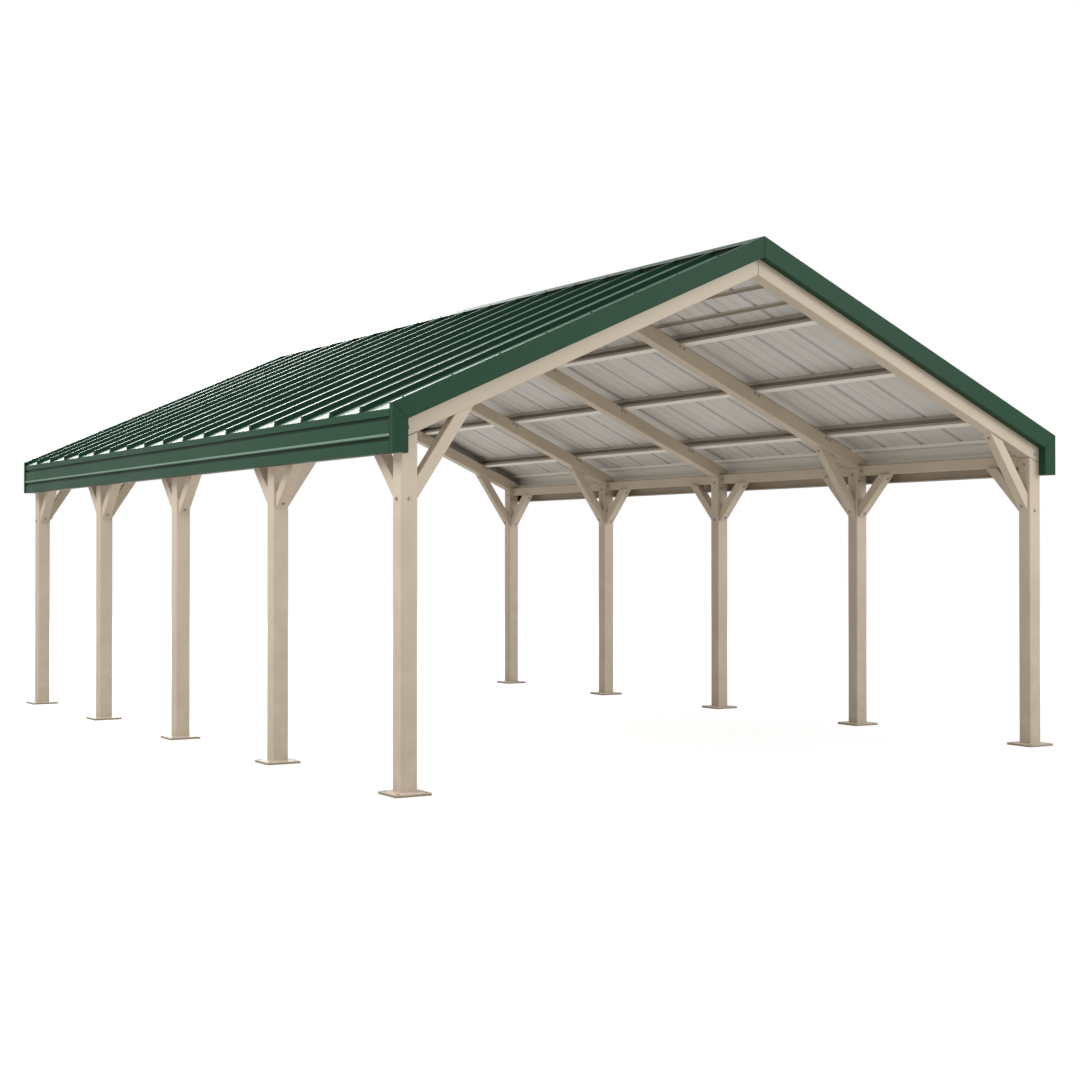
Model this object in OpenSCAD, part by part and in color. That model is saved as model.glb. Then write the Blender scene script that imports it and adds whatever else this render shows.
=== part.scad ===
// Open carport: a gable roof of ribbed sheet on a frame of square steel tube.
// Units are millimetres. The ground is Z = 0, the ridge runs along Y and the front gable faces -Y.

/* [Plan and height] */
// Distance between the post centres of the two rows
span = 6000; // [3000:10:9000]
// Distance between neighbouring post centres along a row
bay = 2180; // [1500:10:3200]
// Reach of the gable trim beyond the outer faces of the end posts
gable_reach = 76.5; // [60:0.5:340]
// Height of the rafter underside over the post centres
seat_z = 2435; // [2000:5:3500]
// Roof slope in degrees
pitch = 24; // [12:0.5:35]

/* [Posts and feet] */
// Outside width of a square post
post_w = 127; // [90:1:150]
// Wall of the post tube
post_wall = 4; // [2:0.5:8]
// Corner radius of the post tube
post_r = 10; // [5:0.5:14]
// Width of a square base plate
plate_w = 275; // [220:5:400]
// Thickness of a base plate
plate_t = 20; // [8:1:30]
// Corner radius of a base plate
plate_r = 10; // [4:1:30]
// Distance between anchor holes, both ways
hole_spacing = 210; // [170:5:320]
// Diameter of an anchor hole
hole_d = 18; // [10:1:26]

/* [Rafters and beams] */
// Depth of a rafter, square to the slope
rafter_d = 125; // [90:1:200]
// Wall of the rafter tube
rafter_wall = 4; // [2:0.5:8]
// Width of an eave beam
beam_w = 60; // [40:1:90]
// Height of an eave beam
beam_h = 95; // [60:1:140]
// Wall of the eave beam tube
beam_wall = 3; // [2:0.5:6]
// Corner radius of the eave beam tube
beam_r = 6; // [4:0.5:12]
// Step of the eave beam back from the inner face of the posts
beam_step = 48; // [20:1:50]
// Drop of the beam underside below the rafter seat
beam_drop = 46; // [20:1:120]

/* [Braces and cleats] */
// Width of a square brace
brace_w = 88; // [50:1:105]
// Wall of the brace tube
brace_wall = 3; // [2:0.5:6]
// Corner radius of the brace tube
brace_r = 7; // [4:0.5:12]
// Height of the lower tip of a brace under a rafter
rafter_brace_z = 1995; // [1500:5:2050]
// Lean of a brace under a rafter from upright, in degrees
rafter_brace_lean = 34; // [25:1:50]
// Height of the lower tip of a brace under an eave beam
eave_brace_z = 1985; // [1500:5:2050]
// Lean of a brace under an eave beam from upright, in degrees
eave_brace_lean = 45; // [30:1:55]
// Leg of a beam cleat
cleat_w = 42; // [25:1:45]
// Thickness of a beam cleat
cleat_t = 5; // [3:0.5:8]
// Height of the cleat leg on the post
cleat_h = 190; // [110:1:220]
// Drop of a beam cleat below the beam
cleat_drop = 74; // [20:1:90]

/* [Purlins and roof sheet] */
// Depth of a purlin, square to the slope
purlin_d = 100; // [70:1:160]
// Flange of a purlin
purlin_flange = 58; // [40:1:80]
// Lip of a purlin
purlin_lip = 28; // [10:1:35]
// Metal of a purlin
purlin_t = 2.5; // [1.5:0.1:4]
// Distance from the ridge to the first purlin web, down the slope
purlin_start = 945; // [850:5:1000]
// Distance from the last purlin web to the foot of the slope
purlin_back = 485; // [200:5:600]
// Height of the eave strut underside over the rafter seat
strut_rise = 55; // [10:1:80]
// Leg of a sheet stiffener near the ridge
stiffener_leg = 28; // [20:1:60]
// Metal of a sheet stiffener
stiffener_t = 3; // [2:0.5:6]
// Distance from the ridge to the first stiffener, down the slope
stiffener_start = 430; // [250:5:450]
// Distance between the two stiffeners, down the slope
stiffener_step = 275; // [150:5:350]
// Metal of the roof sheet and the trims
sheet_t = 0.8; // [0.5:0.1:1.5]
// Height of a sheet rib
rib_h = 38; // [20:1:60]
// Width of a rib at its crown
rib_crown = 26; // [15:1:60]
// Width of a rib at its foot
rib_foot = 52; // [30:1:110]
// Height of the upturned edge inside a rib
edge_h = 24; // [10:1:30]
// Gap of the upturned edge from the wall of the rib
edge_gap = 4; // [2:0.5:6]
// Gap between the ridge line and the upper end of the sheet
ridge_gap = 24; // [10:1:60]
// Half width of the ridge cap, on plan
cap_half = 135; // [80:5:300]

/* [Trims] */
// Reach of the corner trim beyond the backs of the posts
eave_reach = 103.5; // [90:0.5:240]
// Height of the lower edge of the eave trim
trim_z = 2312; // [2100:1:2320]
// Width of an upright corner trim
corner_w = 120; // [110:1:180]
// Fold of the corner trim over the end of the eave fascia
corner_fold = 46; // [20:1:80]
// Lap of the gable trim below the rafter top, square to the slope
rake_lap = 7; // [2:0.5:30]
// Width of the top flange of the gable trim
rake_flange = 46; // [25:1:80]
// Depth of a groove in the eave fascia
groove_d = 12; // [4:0.5:20]
// Height of the bright bead on the eave fascia
bead_h = 20; // [10:1:28]
// Reach of the bead in front of the fascia bands
bead_reach = 5; // [2:0.5:8]
// Top band of the eave fascia
band_top = 50; // [20:1:70]
// Middle band of the eave fascia
band_mid = 92; // [40:1:110]
// Height of a groove in the eave fascia
groove_h = 24; // [16:1:30]
// Slant of each groove wall
groove_slant = 5; // [2:0.5:7]
// Return of the fascia below the roof sheet
fascia_return = 45; // [20:1:60]
// Metal of the eave channel
channel_t = 3; // [2:0.5:6]
// Clearance between the eave channel and the trims
channel_gap = 1; // [0.5:0.5:4]
// Clearance of purlin and channel ends from the gable trim
end_gap = 8; // [3:1:20]

/* [Hidden] */
$fn = 32;
beige = [0.82, 0.76, 0.67];
green = [0.15, 0.29, 0.21];
grey = [0.62, 0.60, 0.57];

bays = 4;
posts = bays + 1;
braced_frames = [1, 2, 4, 5];
purlins_per_slope = 3;
panels = 9;
ribs_per_panel = 2;

run = span / 2;
rise = tan(pitch);
ridge_z = seat_z + run * rise;
row_end = bays * bay / 2;
gable_y = row_end + post_w / 2 + gable_reach;
roof_len = 2 * gable_y;
post_face = run - post_w / 2;
post_back = run + post_w / 2;
frame_front = row_end + post_w / 2;

pan_w = rafter_d + purlin_d;
rib_top_w = pan_w + sheet_t + rib_h;
rake_low_w = rafter_d - rake_lap;
slope_end = (post_back - rafter_d * sin(pitch)) / cos(pitch);
purlin_step = (slope_end - purlin_back - purlin_start) / (purlins_per_slope - 1);

corner_x = post_back + eave_reach;
corner_in = corner_x - corner_w;
fascia_x = corner_x - sheet_t - bead_reach;
channel_x = fascia_x - groove_d - sheet_t - channel_gap;
channel_z = trim_z + sheet_t + channel_gap;
beam_x = post_face + beam_step;
beam_z = seat_z - beam_drop;
strut_z = seat_z + strut_rise;
strut_top_w = pan_w - sheet_t;

panel_w = roof_len / panels;
rib_pitch = panel_w / ribs_per_panel;
far = 4 * (span + roof_len);

// Height over the ground of a surface that lies w above the rafter underside, at x from the ridge line
function slope_z(x, w) = ridge_z - x * rise + w / cos(pitch);
// Distance down the slope of a point at x from the ridge line on the surface w
function slope_u(x, w) = (x - w * sin(pitch)) / cos(pitch);
// Place of post number n along its row, from the front
function post_y(n) = (n - (posts + 1) / 2) * bay;

function unit(v) = v / norm(v);
function turned(v) = [-v[1], v[0]];
function before(path, i) = unit(path[max(i, 1)] - path[max(i, 1) - 1]);
function after(path, i) = unit(path[min(i, len(path) - 2) + 1] - path[min(i, len(path) - 2)]);
function corner_way(path, i) = turned(before(path, i)) + turned(after(path, i));
function shifted(path, i, d) =
  path[i] + corner_way(path, i) * 2 * d / (corner_way(path, i) * corner_way(path, i));

// Section of a folded sheet: the path is one face and the metal lies to its left, or right if t is below 0
module folded(path, t) {
  last = len(path) - 1;
  polygon(concat(path, [for (i = [last : -1 : 0]) shifted(path, i, t)]));
}

module rounded(w, d, r) {
  square([w - 2 * r, d], center = true);
  square([w, d - 2 * r], center = true);
  for (x = [-1, 1], y = [-1, 1])
    translate([x * (w / 2 - r), y * (d / 2 - r)]) circle(r);
}

module tube_section(w, d, r, wall) {
  difference() {
    rounded(w, d, r);
    rounded(w - 2 * wall, d - 2 * wall, r - wall);
  }
}

// Slope frame of the right side: X runs down the slope from the ridge, Z is square to the roof
module on_slope() {
  translate([0, 0, ridge_z]) rotate([0, pitch, 0]) children();
}

module left() {
  mirror([1, 0, 0]) children();
}

module rear() {
  mirror([0, 1, 0]) children();
}

// Section in Y and Z, drawn out along X from a to b
module along_x(a, b) {
  translate([a, 0, 0]) rotate([90, 0, 90]) linear_extrude(height = b - a) children();
}

// Section in X and Z, drawn out along Y over the length, about the middle
module along_y(length) {
  rotate([90, 0, 0]) linear_extrude(height = length, center = true) children();
}

module above_rafter_line() {
  on_slope() translate([-far / 2, -far / 2, 0]) cube(far);
}

module beyond_x(x) {
  translate([x, -far / 2, -far / 2]) cube(far);
}

module short_of_x(x) {
  translate([x - far, -far / 2, -far / 2]) cube(far);
}

module post(n) {
  difference() {
    translate([run, post_y(n), plate_t])
      linear_extrude(height = seat_z + post_w) tube_section(post_w, post_w, post_r, post_wall);
    above_rafter_line();
  }
}

module base_plate(n) {
  translate([run, post_y(n), 0]) difference() {
    linear_extrude(height = plate_t) rounded(plate_w, plate_w, plate_r);
    for (x = [-1, 1], y = [-1, 1])
      translate([x * hole_spacing / 2, y * hole_spacing / 2, -plate_t])
        cylinder(d = hole_d, h = 3 * plate_t);
  }
}

module base_plates() {
  for (n = [1 : posts]) base_plate(n);
}

// Tube rafter with an upright mitre at the ridge and a plumb end flush with the back of the post
module rafter(n) {
  difference() {
    on_slope() translate([0, post_y(n), rafter_d / 2])
      along_x(-rafter_d, slope_end + rafter_d)
        tube_section(post_w, rafter_d, post_r, rafter_wall);
    short_of_x(0);
    beyond_x(post_back);
  }
}

module inner_rafters() {
  for (n = [2 : posts - 1]) rafter(n);
}

module eave_beams() {
  for (n = [1 : bays])
    translate([beam_x + beam_w / 2, post_y(n) + bay / 2, beam_z + beam_h / 2])
      along_y(bay - post_w) tube_section(beam_w, beam_h, beam_r, beam_wall);
}

// Angle cleat in the corner between a post and the inner face of an eave beam, its post leg the taller one
module cleat(n) {
  translate([beam_x, post_y(n) + post_w / 2, beam_z]) {
    translate([-cleat_w, 0, -cleat_drop]) cube([cleat_w, cleat_t, cleat_h]);
    linear_extrude(height = beam_h) folded([[-cleat_w, 0], [0, 0], [0, cleat_w]], cleat_t);
  }
}

module beam_cleats() {
  for (n = [1 : bays]) cleat(n);
  rear() for (n = [1 : bays]) cleat(n);
}

// Brace from the inner face of a post to the underside of its rafter, both ends cut to fit
module rafter_brace(n) {
  difference() {
    translate([post_face, post_y(n), rafter_brace_z]) rotate([0, -rafter_brace_lean, 0])
      translate([brace_w / 2, 0, 0])
        linear_extrude(height = seat_z) tube_section(brace_w, brace_w, brace_r, brace_wall);
    beyond_x(post_face);
    above_rafter_line();
  }
}

module rafter_braces() {
  for (n = braced_frames) rafter_brace(n);
}

// Brace from the rear face of a post to the underside of the eave beam behind it
module eave_brace(n) {
  face = post_y(n) + post_w / 2;
  difference() {
    translate([run, face, eave_brace_z]) rotate([-eave_brace_lean, 0, 0])
      translate([0, -brace_w / 2, 0])
        linear_extrude(height = seat_z) tube_section(brace_w, brace_w, brace_r, brace_wall);
    translate([-far / 2, face - far, -far / 2]) cube(far);
    translate([-far / 2, -far / 2, beam_z]) cube(far);
  }
}

module eave_braces() {
  for (n = [1 : bays]) eave_brace(n);
  rear() for (n = [1 : bays]) eave_brace(n);
}

// Lipped channel with its open side towards the ridge and its web at u down the slope
module purlin(u) {
  on_slope() along_y(roof_len - 2 * end_gap) folded(
    [
      [u - purlin_flange, rafter_d + purlin_lip],
      [u - purlin_flange, rafter_d],
      [u, rafter_d],
      [u, pan_w],
      [u - purlin_flange, pan_w],
      [u - purlin_flange, pan_w - purlin_lip]
    ], purlin_t);
}

// Lipped channel on the plumb rafter ends, open inwards, with its upper flange along the slope
module eave_strut() {
  along_y(roof_len - 2 * end_gap) folded(
    [
      [post_back, strut_z + purlin_lip],
      [post_back, strut_z],
      [channel_x, strut_z],
      [channel_x, slope_z(channel_x, strut_top_w)],
      [post_back, slope_z(post_back, strut_top_w)],
      [post_back, slope_z(post_back, strut_top_w) - purlin_lip]
    ], purlin_t);
}

module purlins() {
  for (i = [1 : purlins_per_slope]) purlin(purlin_start + (i - 1) * purlin_step);
  eave_strut();
}

// Angle under the sheet, one leg against the sheet and one hanging
module stiffener(u) {
  on_slope() along_y(roof_len - 2 * end_gap)
    folded([[u, pan_w - stiffener_leg], [u, pan_w], [u - stiffener_leg, pan_w]], stiffener_t);
}

module ridge_stiffeners() {
  for (i = [0, 1]) stiffener(stiffener_start + i * stiffener_step);
}

// Right wall of a rib, its crown and its left wall about y
function rib_points(y) = [
  [y - rib_foot / 2, 0],
  [y - rib_crown / 2, rib_h],
  [y + rib_crown / 2, rib_h],
  [y + rib_foot / 2, 0]
];

// A panel starts with a rib that covers the edge of the panel before it, or with an edge at the front gable
function panel_start(i) = i == 0
  ? [[sheet_t + edge_gap, edge_h], [sheet_t + edge_gap, 0]]
  : [[sheet_t - rib_foot / 2, sheet_t], each [for (k = [1 : 3]) rib_points(0)[k]]];

// It ends with an upturned edge inside the rib of the panel behind it, or at the rear gable
function panel_end(i) = i == panels - 1
  ? [[panel_w - sheet_t - edge_gap, 0], [panel_w - sheet_t - edge_gap, edge_h]]
  : [
      [panel_w - rib_foot / 2 + edge_gap, 0],
      [panel_w - rib_foot / 2 + edge_gap + edge_h * (rib_foot - rib_crown) / 2 / rib_h, edge_h]
    ];

// Ribbed panel with a plumb lower end over the fascia
module panel(i) {
  difference() {
    on_slope() translate([0, i * panel_w - gable_y, pan_w])
      along_x(slope_u(ridge_gap, pan_w), slope_u(corner_x, pan_w))
        folded([each panel_start(i), each rib_points(rib_pitch), each panel_end(i)], sheet_t);
    beyond_x(fascia_x);
  }
}

module roof_panels() {
  for (i = [0 : panels - 1]) panel(i);
}

module cap() {
  along_y(roof_len) folded(
    [
      [-cap_half, slope_z(cap_half, rib_top_w)],
      [0, slope_z(0, rib_top_w)],
      [cap_half, slope_z(cap_half, rib_top_w)]
    ], sheet_t);
}

// Channel behind the eave fascia, from the back of the posts up to the eave strut
module eave_channel() {
  along_y(roof_len - 2 * end_gap) folded(
    [
      [post_back, channel_z],
      [channel_x, channel_z],
      [channel_x, strut_z],
      [post_back, strut_z]
    ], channel_t);
}

// Inward step from z down the fascia
function groove_points(z) = [
  [fascia_x, z],
  [fascia_x - groove_d, z - groove_slant],
  [fascia_x - groove_d, z - groove_h + groove_slant],
  [fascia_x, z - groove_h]
];

function bead_points(z) = [
  for (a = [0 : 30 : 180])
    [fascia_x + bead_reach * sin(a), z - bead_h / 2 * (1 - cos(a))]
];

module eave_fascia() {
  top = slope_z(fascia_x, pan_w);
  bead_z = top - band_top - groove_h - band_mid;
  along_y(roof_len - 2 * sheet_t) folded(
    [
      [fascia_x - fascia_return, slope_z(fascia_x - fascia_return, pan_w)],
      [fascia_x, top],
      each groove_points(top - band_top),
      each bead_points(bead_z),
      each groove_points(bead_z - bead_h - groove_slant),
      [fascia_x, trim_z],
      [channel_x - fascia_return, trim_z]
    ], -sheet_t);
}

// Mitre between the gable trim and the upright corner trim, from the inner corner to the outer one
module below_mitre(above) {
  z_in = slope_z(corner_in, rake_low_w);
  z_out = slope_z(corner_x, rib_top_w);
  translate([corner_in, 0, z_in]) rotate([0, -atan2(z_out - z_in, corner_w), 0])
    translate([-far / 2, -far / 2, above ? 0 : -far]) cube(far);
}

// Gable trim: soffit from the rafter, face, top flange and a leg down to the sheet
module rake() {
  difference() {
    on_slope() along_x(-rib_top_w, slope_u(corner_x, 0)) folded(
      [
        [-frame_front, rake_low_w],
        [-gable_y, rake_low_w],
        [-gable_y, rib_top_w],
        [rake_flange - gable_y, rib_top_w],
        [rake_flange - gable_y, pan_w + sheet_t]
      ], -sheet_t);
    short_of_x(0);
    below_mitre(false);
  }
}

module corner_trim() {
  difference() {
    translate([0, 0, trim_z]) linear_extrude(height = seat_z) folded(
      [
        [corner_in, -frame_front],
        [corner_in, -gable_y],
        [corner_x, -gable_y],
        [corner_x, corner_fold - gable_y]
      ], sheet_t);
    below_mitre(true);
  }
}

module left_post_1() color(beige) left() post(1);
module left_post_2() color(beige) left() post(2);
module left_post_3() color(beige) left() post(3);
module left_post_4() color(beige) left() post(4);
module left_post_5() color(beige) left() post(5);
module right_post_1() color(beige) post(1);
module right_post_2() color(beige) post(2);
module right_post_3() color(beige) post(3);
module right_post_4() color(beige) post(4);
module right_post_5() color(beige) post(5);
module left_base_plates() color(beige) left() base_plates();
module right_base_plates() color(beige) base_plates();
module front_left_rafter() color(beige) left() rafter(1);
module front_right_rafter() color(beige) rafter(1);
module rear_left_rafter() color(beige) left() rafter(posts);
module rear_right_rafter() color(beige) rafter(posts);
module inner_left_rafters() color(beige) left() inner_rafters();
module inner_right_rafters() color(beige) inner_rafters();
module left_eave_beams() color(beige) left() eave_beams();
module right_eave_beams() color(beige) eave_beams();
module left_beam_cleats() color(beige) left() beam_cleats();
module right_beam_cleats() color(beige) beam_cleats();
module left_rafter_braces() color(beige) left() rafter_braces();
module right_rafter_braces() color(beige) rafter_braces();
module left_eave_braces() color(beige) left() eave_braces();
module right_eave_braces() color(beige) eave_braces();
module left_purlins() color(grey) left() purlins();
module right_purlins() color(grey) purlins();
module left_ridge_stiffeners() color(grey) left() ridge_stiffeners();
module right_ridge_stiffeners() color(grey) ridge_stiffeners();
module left_roof_panels() color(green) left() roof_panels();
module right_roof_panels() color(green) roof_panels();
module ridge_cap() color(green) cap();
module left_eave_channel() color(beige) left() eave_channel();
module right_eave_channel() color(beige) eave_channel();
module left_eave_fascia() color(green) left() eave_fascia();
module right_eave_fascia() color(green) eave_fascia();
module front_left_rake() color(green) left() rake();
module front_right_rake() color(green) rake();
module rear_left_rake() color(green) rear() left() rake();
module rear_right_rake() color(green) rear() rake();
module front_left_corner_trim() color(green) left() corner_trim();
module front_right_corner_trim() color(green) corner_trim();
module rear_left_corner_trim() color(green) rear() left() corner_trim();
module rear_right_corner_trim() color(green) rear() corner_trim();

left_post_1();
left_post_2();
left_post_3();
left_post_4();
left_post_5();
right_post_1();
right_post_2();
right_post_3();
right_post_4();
right_post_5();
left_base_plates();
right_base_plates();
front_left_rafter();
front_right_rafter();
rear_left_rafter();
rear_right_rafter();
inner_left_rafters();
inner_right_rafters();
left_eave_beams();
right_eave_beams();
left_beam_cleats();
right_beam_cleats();
left_rafter_braces();
right_rafter_braces();
left_eave_braces();
right_eave_braces();
left_purlins();
right_purlins();
left_ridge_stiffeners();
right_ridge_stiffeners();
left_roof_panels();
right_roof_panels();
ridge_cap();
left_eave_channel();
right_eave_channel();
left_eave_fascia();
right_eave_fascia();
front_left_rake();
front_right_rake();
rear_left_rake();
rear_right_rake();
front_left_corner_trim();
front_right_corner_trim();
rear_left_corner_trim();
rear_right_corner_trim();
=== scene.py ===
# %% [markdown]
# An open carport in Blender
#
# The carport is a gable roof of ribbed green sheet on a beige frame of square steel tube. Its tubes,
# plates, sheets and trims come as a fixed frame of exact parts. They could be modelled again here, but
# exact parts are better kept than copied, so this lesson only dresses them. It gives every surface a finish
# made from shader nodes, and adds the bolts, screws, welds and seams that hold the real thing together.

# %% Load the frame
import math

import bpy
import numpy as np
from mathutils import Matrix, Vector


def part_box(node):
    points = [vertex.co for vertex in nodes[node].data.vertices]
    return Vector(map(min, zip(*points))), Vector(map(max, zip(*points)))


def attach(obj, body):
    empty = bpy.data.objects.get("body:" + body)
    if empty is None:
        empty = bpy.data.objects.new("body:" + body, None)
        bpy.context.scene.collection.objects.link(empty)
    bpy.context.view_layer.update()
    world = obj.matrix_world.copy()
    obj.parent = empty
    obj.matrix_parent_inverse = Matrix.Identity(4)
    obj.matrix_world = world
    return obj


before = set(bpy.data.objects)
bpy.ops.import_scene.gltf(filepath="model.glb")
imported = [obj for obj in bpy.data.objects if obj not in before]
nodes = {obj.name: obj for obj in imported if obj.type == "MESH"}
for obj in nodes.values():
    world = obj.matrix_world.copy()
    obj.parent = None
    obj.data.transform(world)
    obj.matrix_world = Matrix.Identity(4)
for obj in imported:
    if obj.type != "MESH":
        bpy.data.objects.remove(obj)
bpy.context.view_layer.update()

# %% [markdown]
# Sizes that the fittings need
#
# A fitting sits on the part that carries it. Its place could be typed in by hand, but it would then be
# wrong as soon as a part changed, so it is worked out from the parts' boxes. The roof slope is the one
# thing a box doesn't tell, so its pitch and the depths of its layers are written here once. A point on the
# slope has three numbers: u runs down from the ridge, y runs along the ridge, and w is the height square to
# the rafter underside.

# %% Measure the frame
PITCH = math.radians(24)
RAFTER_DEPTH = 0.125
PURLIN_DEPTH = 0.100
SHEET = 0.0008
RIB_HEIGHT = 0.038
PAN_W = RAFTER_DEPTH + PURLIN_DEPTH
CROWN_W = PAN_W + SHEET + RIB_HEIGHT
SIDES = {"left": -1, "right": 1}
POSTS = range(1, 6)
BRACED = (1, 2, 4, 5)

post_low, post_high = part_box("right_post_1")
POST = post_high.x - post_low.x
RUN = (post_low.x + post_high.x) / 2
FACE = RUN - POST / 2
BACK = RUN + POST / 2
PLATE_TOP = post_low.z
post_y = {n: sum(v.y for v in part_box(f"right_post_{n}")) / 2 for n in POSTS}
ridge_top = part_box("front_right_rafter")[1].z
RIDGE_Z = ridge_top - RAFTER_DEPTH / math.cos(PITCH)
SEAT_Z = RIDGE_Z - RUN * math.tan(PITCH)
beam_low, beam_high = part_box("right_eave_beams")
bead_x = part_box("right_eave_fascia")[1].x
GABLE_Y = -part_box("front_right_rake")[0].y
FRAME_Y = -post_y[1] + POST / 2


def slope_point(side, u, y, w):
    """Place of slope coordinates: x is u cos + w sin to the side, z is the ridge less u sin plus w cos."""
    u, y, w = np.broadcast_arrays(u, y, w)
    x = side * (u * math.cos(PITCH) + w * math.sin(PITCH))
    z = RIDGE_Z - u * math.sin(PITCH) + w * math.cos(PITCH)
    return np.stack([x, y, z], axis=-1).astype(float)


def slope_up(side):
    """Unit vector square to the roof on that side."""
    return np.array([side * math.sin(PITCH), 0.0, math.cos(PITCH)])


def slope_u(x, w):
    """Distance down the slope of a point at x from the ridge line, on the surface w."""
    return (x - w * math.sin(PITCH)) / math.cos(PITCH)


def slope_z(x, w):
    """Height over the ground of the surface w at x from the ridge line."""
    return RIDGE_Z - np.abs(x) * math.tan(PITCH) + w / math.cos(PITCH)


print("span", 2 * RUN, "ridge", RIDGE_Z, "seat", SEAT_Z, "gable", GABLE_Y)

# %% [markdown]
# Node groups for the finishes
#
# Paint and metal are never one flat colour. A picture could carry the changes, but noise made by nodes has
# no seams and no resolution. A few helpers keep the node trees short: one adds a node, one does a sum, one
# maps a range, and one opens a group that several materials can share.


# %% Helpers for node trees
def add(tree, kind, **settings):
    """A node with its properties set; a key that isn't a property sets the socket of that name."""
    node = tree.nodes.new(kind)
    for key, value in settings.items():
        if key in node.bl_rna.properties:
            setattr(node, key, value)
        else:
            node.inputs[key.replace("_", " ")].default_value = value
    return node


def math_node(tree, operation, first, second=0.0, clamp=False):
    """One sum of two values, each a constant or another node's socket."""
    node = add(tree, "ShaderNodeMath", operation=operation, use_clamp=clamp)
    for socket, value in zip(node.inputs, (first, second)):
        if hasattr(value, "is_linked"):
            tree.links.new(value, socket)
        else:
            socket.default_value = value
    return node.outputs[0]


def own_place(tree):
    """The place of a point in its part's own coordinates."""
    return add(tree, "ShaderNodeTexCoord").outputs["Object"]


def facing(tree):
    """The way the bare face looks, before any bump."""
    return add(tree, "ShaderNodeNewGeometry").outputs["True Normal"]


def split(tree, vector):
    """The X, Y and Z of a vector, by name."""
    node = add(tree, "ShaderNodeSeparateXYZ")
    tree.links.new(vector, node.inputs["Vector"])
    return node.outputs


def spread(tree, value, low, high, start=0.3, end=0.7):
    """Maps the range from start to end of a value to low and high, softly, for tones and masks."""
    node = add(tree, "ShaderNodeMapRange", interpolation_type="SMOOTHSTEP")
    for socket, number in (("From Min", start), ("From Max", end), ("To Min", low), ("To Max", high)):
        node.inputs[socket].default_value = number
    tree.links.new(value, node.inputs["Value"])
    return node.outputs["Result"]


def new_group(name, inputs, values=(), colours=()):
    """A shader node group: inputs map a socket's name to its default, and it puts out values and colours."""
    group = bpy.data.node_groups.new(name, "ShaderNodeTree")
    for socket, default in inputs.items():
        made = group.interface.new_socket(socket, in_out="INPUT", socket_type="NodeSocketFloat")
        made.default_value = default
    for sockets, kind in ((values, "NodeSocketFloat"), (colours, "NodeSocketColor")):
        for socket in sockets:
            group.interface.new_socket(socket, in_out="OUTPUT", socket_type=kind)
    return group, group.nodes.new("NodeGroupInput"), group.nodes.new("NodeGroupOutput")


# %% [markdown]
# Clouds, streaks and a fade to the ground
#
# Three groups are shared by the materials: slow clouds of colour with a fine skin for the bump of sprayed
# paint, streaks that run one way as rolled metal has, and a value that grows towards the ground. Noise on
# Object coordinates stays with the part. Squeezing those coordinates along one axis before they reach the
# noise draws it out into streaks, and the height over the ground alone sets the fade. Each group
# puts out values only, so a material decides what they change.

# %% Build the shared groups
FINE_PER_CLOUD = 60.0
DRAWN_OUT = 0.35
SQUEEZED = 14.0


def clouds_group():
    """Two sizes of noise: Clouds is slow and Speckle is many times finer, both about 0 to 1."""
    group, given, out = new_group("coat_clouds", {"Size": 1.0}, ("Clouds", "Speckle"))
    place = own_place(group)
    fine_size = math_node(group, "MULTIPLY", given.outputs["Size"], FINE_PER_CLOUD)
    for name, size in (("Clouds", given.outputs["Size"]), ("Speckle", fine_size)):
        noise = add(group, "ShaderNodeTexNoise", Detail=4.0, Roughness=0.55)
        group.links.new(size, noise.inputs["Scale"])
        group.links.new(place, noise.inputs["Vector"])
        group.links.new(noise.outputs["Fac"], out.inputs[name])
    return group


def streaks_group():
    """Noise stretched up the slope, and noise stretched along the ridge, for the marks of rolling."""
    group, given, out = new_group("rolling_streaks", {"Fineness": 1.0}, ("Upslope", "Lengthwise"))
    place = own_place(group)
    upslope = (DRAWN_OUT, SQUEEZED, DRAWN_OUT)
    lengthwise = (SQUEEZED, DRAWN_OUT, SQUEEZED)
    for name, stretch in (("Upslope", upslope), ("Lengthwise", lengthwise)):
        mapping = add(group, "ShaderNodeMapping")
        mapping.inputs["Scale"].default_value = stretch
        noise = add(group, "ShaderNodeTexNoise", Detail=5.0, Roughness=0.65)
        group.links.new(place, mapping.inputs["Vector"])
        group.links.new(mapping.outputs["Vector"], noise.inputs["Vector"])
        group.links.new(given.outputs["Fineness"], noise.inputs["Scale"])
        group.links.new(noise.outputs["Fac"], out.inputs[name])
    return group


def ground_fade_group():
    """A value that fades with height, broken up by noise: most at the ground, none above Reach."""
    group, given, out = new_group("ground_fade", {"Reach": 0.4}, ("Dust",))
    place = own_place(group)
    share = math_node(group, "DIVIDE", split(group, place)["Z"], given.outputs["Reach"])
    low = math_node(group, "SUBTRACT", 1.0, share, clamp=True)
    noise = add(group, "ShaderNodeTexNoise", Scale=9.0, Detail=5.0)
    group.links.new(place, noise.inputs["Vector"])
    group.links.new(math_node(group, "MULTIPLY", low, noise.outputs["Fac"]), out.inputs["Dust"])
    return group


CLOUDS = clouds_group()
STREAKS = streaks_group()
GROUND_FADE = ground_fade_group()
print("shared groups:", CLOUDS.name, STREAKS.name, GROUND_FADE.name)
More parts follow.
